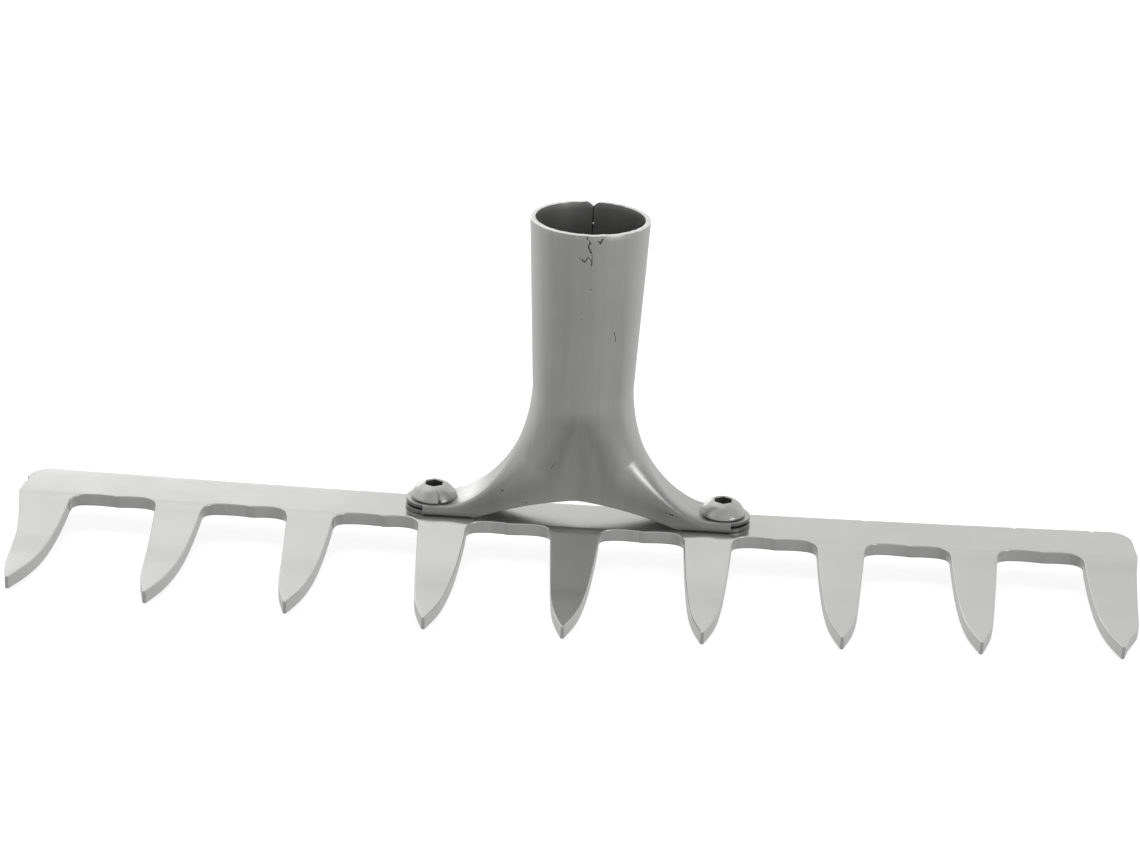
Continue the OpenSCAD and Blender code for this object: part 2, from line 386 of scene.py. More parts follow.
def bending(top, cut):
    """The tree that carries the flat plate to the finished comb.
    The teeth bend down at their roots and curve back to level."""
    tree = Tree("bent_teeth")
    root_y = tree.size("Root line", ROOT_Y * MM)
    back = tree.size("Sweep radius", SWEEP_RADIUS * MM)
    bend = tree.size("Bend length", BEND_LENGTH * MM)
    slope = tree.size("Slope", tan(radians(TOOTH_FALL)))
    curl = tree.size("Curl radius", CURL_RADIUS * MM)
    level = tree.size("Top level", PLATE_TOP * MM)
    place = tree.add("ShaderNodeSeparateXYZ", Vector=tree.add("GeometryNodeInputPosition").outputs[0])
    x, y, z = place.outputs
    chord = tree.math("SUBTRACT", tree.math("MULTIPLY", back, back), tree.math("MULTIPLY", x, x))
    root = tree.math("ADD", root_y, tree.math("SUBTRACT", back, tree.math("SQRT", chord)))
    # the way along the tooth from its root, split into the bend and the curve back
    ahead = tree.math("MAXIMUM", tree.math("SUBTRACT", root, y), 0.0)
    early = tree.math("MINIMUM", ahead, bend)
    beyond = tree.math("MAXIMUM", tree.math("SUBTRACT", ahead, bend), 0.0)
    beyond = tree.math("MINIMUM", beyond, tree.math("MULTIPLY", curl, slope))
    steep = tree.math("MULTIPLY", slope, tree.math("DIVIDE", early, bend))
    turn = tree.math("ARCTANGENT", tree.math("SUBTRACT", steep, tree.math("DIVIDE", beyond, curl)))
    cosine, sine = tree.math("COSINE", turn), tree.math("SINE", turn)
    lift = tree.math("DIVIDE", tree.math("MULTIPLY", beyond, beyond), tree.math("MULTIPLY", curl, 2.0))
    drop = tree.math("ADD", tree.math("DIVIDE", tree.math("MULTIPLY", steep, early), 2.0),
                     tree.math("MULTIPLY", beyond, slope))
    drop = tree.math("SUBTRACT", drop, lift)
    high = tree.math("SUBTRACT", tree.math("ADD", level, tree.math("MULTIPLY", z, cosine)), drop)
    forward = tree.math("SUBTRACT", y, tree.math("MULTIPLY", z, sine))
    goal = tree.add("ShaderNodeCombineXYZ", X=x, Y=forward, Z=high)
    moved = tree.add("GeometryNodeSetPosition", Geometry=tree.start.outputs[0], Position=goal.outputs[0])
    facing = tree.add("ShaderNodeSeparateXYZ", Vector=tree.add("GeometryNodeInputNormal").outputs[0])
    upright = tree.math("LESS_THAN", tree.math("ABSOLUTE", facing.outputs[2]), UPRIGHT)
    tree.finish(moved.outputs[0], top, (cut, upright))
    return tree


def flat_plate():
    """The comb before it is bent, with rolled-over edges, as a curve's mesh."""
    curve = bpy.data.curves.new("comb", "CURVE")
    curve.dimensions = "2D"
    curve.fill_mode = "BOTH"
    loops = [nicked(comb_outline())]
    loops += [arc(side * SCREW_X, 0.0, TAPPED_RADIUS, 0.0, -tau, 48)[:-1] for side in (-1, 1)]
    for loop in loops:
        spline = curve.splines.new("POLY")
        spline.points.add(len(loop) - 1)
        for point, (x, y) in zip(spline.points, loop):
            point.co = (x * MM, y * MM, 0.0, 1.0)
        spline.use_cyclic_u = True
    curve.extrude = (PLATE / 2 - ROLLOVER) * MM
    curve.bevel_depth = ROLLOVER * MM
    curve.bevel_resolution = 3
    curve.offset = -ROLLOVER * MM
    drawn = bpy.data.objects.new("comb_curve", curve)
    bpy.context.scene.collection.objects.link(drawn)
    mesh = bpy.data.meshes.new_from_object(drawn.evaluated_get(bpy.context.evaluated_depsgraph_get()))
    bpy.data.objects.remove(drawn)
    return mesh


def make_comb(top, cut):
    piece = finish_mesh("comb_plate", flat_plate(), 40.0)

    def work(tool):
        bmesh.ops.remove_doubles(tool, verts=tool.verts, dist=0.00001)
        for k in range(BEND_CUTS):
            at = (ROOT_Y + 1.0 - CUT_STEP * k) * MM
            bmesh.ops.bisect_plane(tool, geom=tool.verts[:] + tool.edges[:] + tool.faces[:],
                                   plane_co=(0, at, 0), plane_no=(0, 1, 0))
        for vert in tool.verts:
            vert.co.z -= PLATE / 2 * MM
        bmesh.ops.recalc_face_normals(tool, faces=tool.faces)
    edit(piece, work)
    bending(top, cut).shape(piece)
    even = piece.modifiers.new("even_shading", "WEIGHTED_NORMAL")
    even.keep_sharp = True
    apply_modifiers(piece, None)
    return piece


# ---------------------------------------------------------------- socket

def flare_point(t):
    k = (1 - t) ** 3, 3 * t * (1 - t) ** 2, 3 * t * t * (1 - t), t ** 3
    return sum(w * p[0] for w, p in zip(k, FLARE)), sum(w * p[1] for w, p in zip(k, FLARE))


def turn_at(t):
    """How far the cut through a leg leans at t along the flare."""
    x, z = flare_point(t)
    return atan2(NECK_HEIGHT - z, max(0.0, PIVOT_X - x)) if t < 1.0 else pi / 2


def arch(x):
    return ARCH_HEIGHT * (1.0 - min(1.0, abs(x) / ARCH_HALF) ** 1.6)


def resample(path, n):
    lengths = [0.0]
    for a, b in zip(path, path[1:]):
        lengths.append(lengths[-1] + (Vector(a) - Vector(b)).length)
    out = []
    k = 0
    for i in range(n + 1):
        goal = lengths[-1] * i / n
        while k < len(path) - 2 and lengths[k + 1] < goal:
            k += 1
        u = (goal - lengths[k]) / max(1e-9, lengths[k + 1] - lengths[k])
        out.append(tuple(Vector(path[k]).lerp(Vector(path[k + 1]), min(1.0, u))))
    return out


def leg_depth(z):
    return EAR_HALF + (NECK_RADIUS - EAR_HALF) * ease((z - EAR_HEIGHT) / (NECK_HEIGHT - EAR_HEIGHT))


def leg_section(top_x, top_z, turn, beyond=0.0):
    """Half a cross-section of one leg, from its top line to its lower edge.
    turn is 0 at the neck, where the cut is level, and a right angle on the ear, where it is upright."""
    half = leg_depth(top_z)
    corner = FOLD_RADIUS + (NECK_RADIUS - FOLD_RADIUS) * (1.0 - ease((turn - radians(22)) / radians(60)))
    corner = min(corner, half)
    inward = (-cos(turn), -sin(turn))

    def at(r):
        return top_x + beyond + inward[0] * r, top_z + inward[1] * r

    # how far the wall reaches: to the middle line, or to the arch
    low, high = corner * 0.9, 80.0
    for _ in range(50):
        r = (low + high) / 2
        x, z = at(r)
        if x > 0 and z > arch(x):
            low = r
        else:
            high = r
    reach = low
    # the front bends out of the corner over a longer way than a plain round would
    wide = min(corner * (1.0 + 0.5 * ease(turn / radians(30))), max(corner, top_x / max(0.2, cos(turn))))

    def front(r):
        left = max(0.0, 1.0 - r / wide)
        return half - corner + corner * sqrt(max(0.0, 1.0 - left ** (2.0 * wide / corner)))
    path = [(0.0, (half - corner) * k / 8) for k in range(8)]
    path += [(r, front(r)) for r in (min(reach, wide) * (1 - cos(pi / 2 * k / 32)) for k in range(33))]
    if reach > wide:
        path += [(wide + (reach - wide) * k / 24, half) for k in range(1, 25)]
    out = []
    for r, y in resample(path, COLUMNS):
        x, z = at(r)
        y *= leg_depth(z) / half
        y -= VALLEY * exp(-(x / VALLEY_HALF) ** 2) * ease((38.0 - z) / 14.0) * ease(r / 12.0)
        # towards the ears the lower edge tucks in, as a fold does
        tuck = ease((x - 26.0) / 8.0) * ease((turn - radians(50)) / radians(30))
        under = max(0.0, FOLD_RADIUS - z)
        y -= tuck * (FOLD_RADIUS - sqrt(max(0.0, FOLD_RADIUS ** 2 - under ** 2)))
        out.append((max(0.0, x), y, z))
    return out


def tube_rows():
    """Quarter rings of the tapered tube, from the mouth down to the neck."""
    rows = []
    turns = [pi / 2 * j / COLUMNS for j in range(COLUMNS + 1)]
    # the second row lies just below the notch and keeps the wall's shading off the lip
    for k in [0, 0.65] + list(range(1, TUBE_ROWS)):
        z = SOCKET_HEIGHT - (SOCKET_HEIGHT - NECK_HEIGHT) * k / TUBE_ROWS
        r = NECK_RADIUS + (MOUTH_RADIUS - NECK_RADIUS) * (z - NECK_HEIGHT) / (SOCKET_HEIGHT - NECK_HEIGHT)
        rows.append([(r * cos(turn), r * sin(turn), z) for turn in turns])
    return rows


def leg_rows():
    """Half sections of one leg, from the neck down the flare and out along the ear."""
    # one row meets the top of the arch exactly
    apex = atan2(NECK_HEIGHT - ARCH_HEIGHT, PIVOT_X)
    low, high = 0.0, 1.0
    for _ in range(40):
        middle = (low + high) / 2
        low, high = (middle, high) if turn_at(middle) < apex else (low, middle)
    places = sorted([k / FLARE_ROWS for k in range(FLARE_ROWS + 1)] + [low])
    rows = [leg_section(*flare_point(t), turn_at(t)) for t in places]
    for k in range(1, EAR_ROWS + 1):
        rows.append(leg_section(PIVOT_X, EAR_HEIGHT, pi / 2, (FOLD_END - PIVOT_X) * k / EAR_ROWS))
    return rows


def mirrored(rows):
    """Points and faces of the whole sheet from the rows of one quarter. The back leaves the seam open."""
    count = COLUMNS + 1
    points, faces = [], []
    for side_x in (1, -1):
        for side_y in (-1, 1):
            base = len(points)
            nearest = SEAM_HALF if side_y > 0 else 0.0
            points += [(side_x * max(x, nearest), side_y * y, z + PLATE_TOP) for row in rows for x, y, z in row]
            for i in range(len(rows) - 1):
                for j in range(COLUMNS):
                    a = base + i * count + j
                    quad = (a, a + 1, a + count + 1, a + count)
                    faces.append(quad if side_x * side_y > 0 else quad[::-1])
    return points, faces


def out_of_true(tool):
    """Cuts the notch. Drawn sheet is never quite true either, and its rim was left as cut."""
    for vert in tool.verts:
        x, y, z = (c / MM for c in vert.co)
        if z > -0.01 and y > 0:
            z -= NOTCH * max(0.0, 1.0 - abs(x) / NOTCH_HALF) ** 1.5
        if z > RIM_ZONE:
            z -= RIM_WANDER * (1.0 + noise.noise(Vector((x * 0.5, y * 0.5, 1.0))))
        wave = noise.noise(Vector((x * 0.05, y * 0.05, z * 0.03))) * WALL_WAVE
        if z > WAVE_ZONE:
            length = sqrt(x * x + y * y)
            x += x / length * wave
            y += y / length * wave
        vert.co = Vector((x, y, z)) * MM


def make_socket_sheet():
    piece = make_piece("socket_sheet", *mirrored(tube_rows() + leg_rows()))
    weld(piece)
    edit(piece, out_of_true)
    thick = piece.modifiers.new("wall", "SOLIDIFY")
    thick.thickness = SHEET * MM
    thick.offset = -1.0
    thick.use_even_offset = True
    thick.use_quality_normals = True
    lip = piece.modifiers.new("lip", "BEVEL")
    lip.width = LIP * MM
    lip.segments = 2
    lip.limit_method = "ANGLE"
    lip.angle_limit = radians(60)
    apply_modifiers(piece, 50.0)
    return piece


def make_layer(name, x_start, x_end, half, z_low, z_high, side):
    """One flat layer of an ear with a round end and slightly broken edges."""
    levels = [(z_low, SOFT_EDGE), (z_low + SOFT_EDGE, 0.0), (z_high - SOFT_EDGE, 0.0), (z_high, SOFT_EDGE)]
    points, faces = [], []
    for z, inset in levels:
        round_end = arc(x_end - half, 0.0, half - inset, -pi / 2, pi / 2, 28)
        loop = [(x_start, -half + inset)] + round_end + [(x_start, half - inset)]
        points += [(side * x, y, z + PLATE_TOP) for x, y in loop]
    n = len(points) // len(levels)
    for k in range(len(levels) - 1):
        for j in range(n):
            a, b = k * n + j, k * n + (j + 1) % n
            faces.append((a, b, b + n, a + n))
    faces.append(tuple(reversed(range(n))))
    faces.append(tuple(range((len(levels) - 1) * n, len(levels) * n)))
    piece = make_piece(name, points, faces, 25.0)
    weld(piece)
    return piece


def make_bead():
    """A drop of weld on the seam, inside the mouth."""
    mesh = bpy.data.meshes.new("bead")
    tool = bmesh.new()
    bmesh.ops.create_icosphere(tool, subdivisions=3, radius=BEAD_RADIUS * MM,
                               matrix=Matrix.Translation(Vector(BEAD) * MM))
    tool.to_mesh(mesh)
    tool.free()
    return finish_mesh("bead", mesh, 60.0)


def make_socket():
    parts = [make_socket_sheet(), make_bead()]
    for side in (-1, 1):
        parts.append(make_layer("top_layer", UPPER_START, EAR_TIP, TIP_HALF,
                                EAR_HEIGHT - SHEET + 0.15, EAR_HEIGHT - 0.03, side))
        parts.append(make_layer("under_layer", LOWER_START, EAR_TIP + 0.1, TIP_HALF - 0.2,
                                0.02, SHEET - 0.2, side))
    return join_meshes("socket_sheet", parts, 40.0)


def in_tube(face):
    inward = face.normal.to_2d().dot(face.center.to_2d()) < 0
    return inward and face.center.z > (PLATE_TOP + NECK_HEIGHT) * MM


def on_rim_or_bead(face):
    """The rim looks up, and the bead's faces are much smaller than the wall's beside it."""
    if face.center.z > RIM_ZONE * MM and face.normal.z > 0.8:
        return True
    return (face.center - Vector(BEAD) * MM).length < 1.1 * BEAD_RADIUS * MM and face.area < 5e-8


# ---------------------------------------------------------------- fasteners

def hexagon(width):
    """Radius by angle of a hexagon with two flats that look along X."""
    def radius(turn):
        part = ((turn + pi / 6) % (pi / 3)) - pi / 6
        return width / 2 / cos(part)
    return radius


def turned(name, rings, x, z_base, segments=216, smooth_angle=35.0):
    """A form closed by its rings of (radius or radius by angle, height), from the lower pole to the upper."""
    points, faces = [], []
    for radius, z in rings:
        for k in range(segments):
            angle = tau * k / segments
            r = radius(angle) if callable(radius) else radius
            points.append((x + r * cos(angle), r * sin(angle), z + z_base))
    for i in range(len(rings) - 1):
        for k in range(segments):
            a, b = i * segments + k, i * segments + (k + 1) % segments
            faces.append((a, b, b + segments, a + segments))
    piece = make_piece(name, points, faces, smooth_angle)
    weld(piece, 0.000001)
    piece.data.shade_smooth()
    piece.data.set_sharp_from_angle(angle=radians(smooth_angle))
    return piece


def threading(steel, x):
    """The tree that winds a screw's thread: a ridge along a helix."""
    tree = Tree("screw_thread")
    radius = tree.size("Shank radius", SHANK_RADIUS * MM)
    pitch = tree.size("Pitch", THREAD_PITCH * MM)
    length = tree.size("Length", (SCREW_LENGTH - 1.8) * MM)
    ridge = tree.size("Ridge", RIDGE * MM)
    across = tree.size("Across", x * MM)
    low = tree.size("Lowest turn", (PLATE_TOP + EAR_HEIGHT - SCREW_LENGTH + 1.0) * MM)
    path_radius = tree.math("SUBTRACT", radius, ridge)
    helix = tree.add("GeometryNodeCurveSpiral", Resolution=64, Rotations=tree.math("DIVIDE", length, pitch),
                     Start_Radius=path_radius, End_Radius=path_radius, Height=length)
    upright = tree.add("GeometryNodeSetCurveNormal", Curve=helix.outputs[0])
    upright.mode = "Z_UP"
    flank = tree.add("GeometryNodeCurvePrimitiveCircle", Resolution=6, Radius=ridge)
    wound = tree.add("GeometryNodeCurveToMesh", Curve=upright.outputs[0],
                     Profile_Curve=flank.outputs[0], Fill_Caps=True)
    place = tree.add("ShaderNodeCombineXYZ", X=across, Z=low)
    put = tree.add("GeometryNodeTransform", Geometry=wound.outputs[0], Translation=place.outputs[0])
    tree.finish(put.outputs[0], steel)
    return tree


def make_thread(steel, x):
    mesh = bpy.data.meshes.new("thread")
    piece = bpy.data.objects.new("thread", mesh)
    bpy.context.scene.collection.objects.link(piece)
    threading(steel, x).shape(piece)
    apply_modifiers(piece, 40.0)
    weld(piece, 0.000001)
    return piece


def make_screw(name, x, steel, nicked_at=None):
    """A button-head screw. nicked_at is the angle of a chisel nick in its head, if it has one."""
    def dented(radius, depth):
        if nicked_at is None:
            return radius
        return lambda angle: radius - depth * max(
            0.0, 1.0 - abs((angle - nicked_at + pi) % tau - pi) / NICK_HALF)
    core = SHANK_RADIUS - 0.6
    rings = [(POLE, -SCREW_LENGTH), (core - 0.7, -SCREW_LENGTH), (core, -SCREW_LENGTH + 0.7), (core, 0.0),
             (dented(HEAD_RADIUS - 0.6, 0.7), 0.0), (dented(HEAD_RADIUS, 1.1), 0.45),
             (dented(HEAD_RADIUS, 1.1), HEAD_BAND - 0.15)]
    rise = HEAD_HEIGHT - HEAD_BAND
    for k in range(15):
        u = k / 14
        bulge = HEAD_BULGE * sin(pi * u)
        radius = HEAD_RADIUS - 0.1 + (HEAD_TOP - HEAD_RADIUS + 0.1) * u + bulge * rise / HEAD_RADIUS
        rings.append((dented(radius, 0.9 * (1.0 - u) ** 1.5 + 0.12), HEAD_BAND + rise * u + bulge))
    inner, wide = hexagon(HEX_WIDTH), hexagon(HEX_WIDTH + 0.35)
    rings += [(wide, HEAD_HEIGHT + 0.02), (inner, HEAD_HEIGHT - 0.2), (inner, HEAD_HEIGHT - HEX_DEPTH),
              (1.2, HEAD_HEIGHT - HEX_DEPTH - 0.25), (POLE, HEAD_HEIGHT - HEX_DEPTH - 0.7)]
    body = turned("body", rings, x, PLATE_TOP + EAR_HEIGHT)
    return join_meshes(name, [body, make_thread(steel, x)], 35.0)


def in_recess(x):
    """Picks the faces of the hex recess in the head of the screw at x."""
    def chosen(face):
        across = (face.center - Vector((x, 0.0, 0.0)) * MM).to_2d().length
        height = face.center.z / MM - PLATE_TOP - EAR_HEIGHT
        return across < 3.05 * MM and 1.0 < height < HEAD_HEIGHT - 0.3
    return chosen


# ---------------------------------------------------------------- materials

class Nodes:
    """Short ways to add and join a material's nodes."""

    def __init__(self, name):
        self.material = bpy.data.materials.new(name)
        self.material.use_nodes = True
        self.tree = self.material.node_tree
        self.tree.nodes.clear()
        self.shader = self.tree.nodes.new("ShaderNodeBsdfPrincipled")
        self.out = self.tree.nodes.new("ShaderNodeOutputMaterial")
        self.join(self.shader.outputs["BSDF"], self.out.inputs["Surface"])
        self.place = self.tree.nodes.new("ShaderNodeTexCoord").outputs["Object"]

    def join(self, a, b):
        self.tree.links.new(a, b)

    def stretched(self, scale):
        node = self.tree.nodes.new("ShaderNodeMapping")
        node.inputs["Scale"].default_value = scale
        self.join(self.place, node.inputs["Vector"])
        return node.outputs["Vector"]

    def noise(self, scale, detail=3.0, rough=0.5, vector=None):
        node = self.tree.nodes.new("ShaderNodeTexNoise")
        node.inputs["Scale"].default_value = scale
        node.inputs["Detail"].default_value = detail
        node.inputs["Roughness"].default_value = rough
        self.join(vector or self.place, node.inputs["Vector"])
        return node.outputs["Fac"]

    def spread(self, value, low, high, to_low=0.0, to_high=1.0):
        node = self.tree.nodes.new("ShaderNodeMapRange")
        node.inputs["From Min"].default_value = low
        node.inputs["From Max"].default_value = high
        node.inputs["To Min"].default_value = to_low
        node.inputs["To Max"].default_value = to_high
        self.join(value, node.inputs["Value"])
        return node.outputs["Result"]

    def fade(self, value, start, full, strength=1.0):
        """0 where the value is at start, and strength where it is at full, both in millimetres."""
        return self.spread(value, start * MM, full * MM, 0.0, strength)

    def math(self, kind, a, b=None):
        node = self.tree.nodes.new("ShaderNodeMath")
        node.operation = kind
        for socket, value in zip(node.inputs, (a, b)):
            if value is None:
                continue
            if isinstance(value, (int, float)):
                socket.default_value = value
            else:
                self.join(value, socket)
        return node.outputs["Value"]

    def blend(self, share, a, b):
        node = self.tree.nodes.new("ShaderNodeMix")
        node.data_type = "RGBA"
        self.join(share, node.inputs["Factor"])
        for socket, value in ((node.inputs[6], a), (node.inputs[7], b)):
            if isinstance(value, tuple):
                socket.default_value = value + (1.0,)
            else:
                self.join(value, socket)
        return node.outputs[2]

    def mark(self, x, z, path, width):
        """1 near a broken line of (x, z) points in millimetres on the front of the piece, else 0."""
        near = None
        for (xa, za), (xb, zb) in zip(path, path[1:]):
            length = max(0.01, sqrt((xb - xa) ** 2 + (zb - za) ** 2)) * MM
            ux, uz = (xb - xa) * MM / length, (zb - za) * MM / length
            dx, dz = self.math("SUBTRACT", x, xa * MM), self.math("SUBTRACT", z, za * MM)
            along = self.math("ADD", self.math("MULTIPLY", dx, ux), self.math("MULTIPLY", dz, uz))
            along = self.math("MINIMUM", self.math("MAXIMUM", along, 0.0), length)
            ex = self.math("SUBTRACT", dx, self.math("MULTIPLY", along, ux))
            ez = self.math("SUBTRACT", dz, self.math("MULTIPLY", along, uz))
            square = self.math("ADD", self.math("MULTIPLY", ex, ex), self.math("MULTIPLY", ez, ez))
            gap = self.math("SQRT", square)
            near = gap if near is None else self.math("MINIMUM", near, gap)
        return self.spread(near, width * MM * 0.3, width * MM, 1.0, 0.0)

    def bump(self, height, strength, distance, below=None):
        node = self.tree.nodes.new("ShaderNodeBump")
        node.inputs["Strength"].default_value = strength
        node.inputs["Distance"].default_value = distance
        self.join(height, node.inputs["Height"])
        if below:
            self.join(below, node.inputs["Normal"])
        return node.outputs["Normal"]


def grey(v):
    return (v, v, v * 0.99)


# cracks, scratches and dents on the front of the socket, as (x, z) lines and a width in millimetres
MARKS = [
    ([(0.0, -0.7), (0.8, -2.4), (0.5, -3.7), (1.1, -5.2), (1.7, -7.7), (1.3, -9.6)], 0.32),
    ([(-1.9, -7.2), (-0.4, -8.1), (0.5, -6.8), (1.4, -7.6)], 0.28),
    ([(3.4, -1.4), (3.9, -2.3), (4.6, -0.9)], 0.28),
    ([(-7.8, -75.2), (-6.9, -73.0)], 0.14),
    ([(-22.6, -84.4), (-22.5, -84.2)], 0.34),
    ([(25.0, -88.0), (26.9, -88.8)], 0.36),
    ([(27.6, -89.0), (28.9, -89.3)], 0.32),
    ([(9.0, -30.0), (9.4, -33.0)], 0.15),
]

# how fine the steel's grain is across and along it
GRAIN_ACROSS, GRAIN_ALONG = 520.0, 14.0


def socket_marks_and_shade(m, colour):
    """Puts painted shade in the seam, on the fronts of the legs and on the ends of the ears, and the damage, on
    the colour. Gives that and the damage.
    """
    split = m.tree.nodes.new("ShaderNodeSeparateXYZ")
    m.join(m.place, split.inputs["Vector"])
    x, y, z = split.outputs
    across = m.math("ABSOLUTE", x)
    # painted shade: a near-black line down the open seam at the back, where shade falls in the slit
    line = m.math("MULTIPLY", m.fade(across, 0.2, 0.06), m.fade(y, 0.0, 1.0))
    colour = m.blend(line, colour, grey(0.02))
    # painted shade: the fronts of the legs are darkened, and the layered ends of the ears darker still
    leg = m.math("MULTIPLY", m.fade(across, 13.0, 26.0), m.fade(y, -3.0, -8.0))
    leg = m.math("MULTIPLY", leg, m.fade(z, -62.0, -80.0, 0.45))
    end = m.math("MULTIPLY", m.fade(across, 46.3, 46.7), m.fade(z, -91.2, -91.5, 0.7))
    colour = m.blend(m.math("MAXIMUM", leg, end), colour, grey(0.08))
    # the damage wavers, lies on the front only and is broken up
    shake = m.math("MULTIPLY", m.math("SUBTRACT", m.noise(500.0, 2.0), 0.5), 1.2 * MM)
    x, z = m.math("ADD", x, shake), m.math("ADD", z, shake)
    damage = m.mark(x, z, *MARKS[0])
    for path, width in MARKS[1:]:
        damage = m.math("MAXIMUM", damage, m.mark(x, z, path, width))
    damage = m.math("MULTIPLY", damage, m.fade(y, -1.0, -2.0))
    damage = m.math("MULTIPLY", damage, m.spread(m.noise(800.0, 2.0), 0.3, 0.5))
    return m.blend(damage, colour, grey(0.06)), damage


def sheet_metal(name, light, dark, rough, grain_axis, streaks, relief, wave=0.2, marked_and_shaded=False):
    """Satin steel: cloudy tone, a fine grain along one axis, small pits and a faint unevenness.
    streaks is the grain's share in the tone, relief its height and wave that of the unevenness."""
    m = Nodes(name)
    m.shader.inputs["Metallic"].default_value = 0.85
    scale = [GRAIN_ACROSS] * 3
    scale["XYZ".index(grain_axis)] = GRAIN_ALONG
    grain = m.noise(1.0, 4.0, 0.6, m.stretched(scale))
    cloud = m.noise(42.0, 5.0, 0.62)
    tone = m.math("ADD", m.math("MULTIPLY", cloud, 1.0 - streaks), m.math("MULTIPLY", grain, streaks))
    colour = m.blend(m.spread(tone, 0.34, 0.66), grey(dark), grey(light))
    pits = m.spread(m.noise(520.0, 2.0, 0.7), 0.2, 0.25)
    colour = m.blend(pits, grey(dark * 0.5), colour)
    rough_tone = m.math("ADD", m.math("MULTIPLY", grain, 0.4), m.math("MULTIPLY", cloud, 0.6))
    damage = None
    # the socket's damage marks, and its painted shade in the seam, on the legs and at the ear ends
    if marked_and_shaded:
        colour, damage = socket_marks_and_shade(m, colour)
    m.join(colour, m.shader.inputs["Base Color"])
    m.join(m.spread(rough_tone, 0.3, 0.7, rough - 0.06, rough + 0.08), m.shader.inputs["Roughness"])
    below = m.bump(m.noise(70.0, 2.0, 0.5), wave, 0.5 * MM)
    below = m.bump(grain, relief, 0.05 * MM, below)
    if damage:
        below = m.bump(m.math("SUBTRACT", 1.0, damage), 0.7, 0.3 * MM, below)
    m.join(below, m.shader.inputs["Normal"])
    return m.material


# ---------------------------------------------------------------- stage, light and camera

WHITE = (1.0, 1.0, 1.0, 1.0)
FLOOR_HALF = 6.0
FLOOR_Z = (PLATE_TOP - 12.7) * MM

# name, place and aim in metres, size, power in watts, and whether the steel mirrors it
LAMPS = [
    ("overhead", (-0.15, 0.1, 1.3), (0, 0, -0.08), (0.9, 0.7), 5.0, False),
    ("left", (-1.5, -0.5, 0.6), (0, 0, -0.05), (1.4, 1.4), 1.2, True),
    ("right", (1.15, -0.9, 0.25), (0, 0, -0.08), (0.45, 0.55), 2.8, True),
    ("behind_left", (-0.95, 2.2, 0.35), (0, 0, -0.08), (1.2, 0.5), 3.5, True),
]

# the camera, solved from the photo: focal length and centre in its pixels, angles in degrees, and place
PHOTO_WIDTH = 1140.0
FOCAL, CENTRE_X = 2467.0, 640.0
TILT, ROLL, YAW = 21.82, 3.07, -0.94
CAMERA_PLACE = (28.86, -695.7 + BACK_Y, 305.2 + PLATE_TOP)
SENSOR = 36.0


def make_floor():
    size, z = FLOOR_HALF, FLOOR_Z
    mesh = bpy.data.meshes.new("floor")
    corners = [(-size, -size, z), (size, -size, z), (size, size, z), (-size, size, z)]
    mesh.from_pydata(corners, [], [(0, 1, 2, 3)])
    floor = bpy.data.objects.new("floor", mesh)
    bpy.context.scene.collection.objects.link(floor)
    # white to the camera with a light shadow; mirrored rays pass it and show the studio
    m = Nodes("pale_floor")
    m.shader.inputs["Roughness"].default_value = 0.9
    m.shader.inputs["Specular IOR Level"].default_value = 0.1
    m.shader.inputs["Base Color"].default_value = (0.4, 0.4, 0.4, 1.0)
    m.shader.inputs["Emission Color"].default_value = WHITE
    path = m.tree.nodes.new("ShaderNodeLightPath")
    m.join(m.math("MULTIPLY", path.outputs["Is Camera Ray"], 0.8), m.shader.inputs["Emission Strength"])
    shown = m.math("MAXIMUM", path.outputs["Is Glossy Ray"], path.outputs["Is Transmission Ray"])
    clear = m.tree.nodes.new("ShaderNodeBsdfTransparent")
    mix = m.tree.nodes.new("ShaderNodeMixShader")
    m.join(shown, mix.inputs["Fac"])
    m.join(m.shader.outputs["BSDF"], mix.inputs[1])
    m.join(clear.outputs["BSDF"], mix.inputs[2])
    m.join(mix.outputs["Shader"], m.out.inputs["Surface"])
    mesh.materials.append(m.material)


def make_lamp(name, place, aim, size, power, mirrored_in_steel):
    data = bpy.data.lights.new(name, "AREA")
    data.shape = "RECTANGLE"
    data.size, data.size_y = size
    data.energy = power
    lamp = bpy.data.objects.new(name, data)
    lamp.location = place
    lamp.rotation_euler = (Vector(aim) - Vector(place)).to_track_quat("-Z", "Y").to_euler()
    lamp.visible_glossy = mirrored_in_steel
    bpy.context.scene.collection.objects.link(lamp)


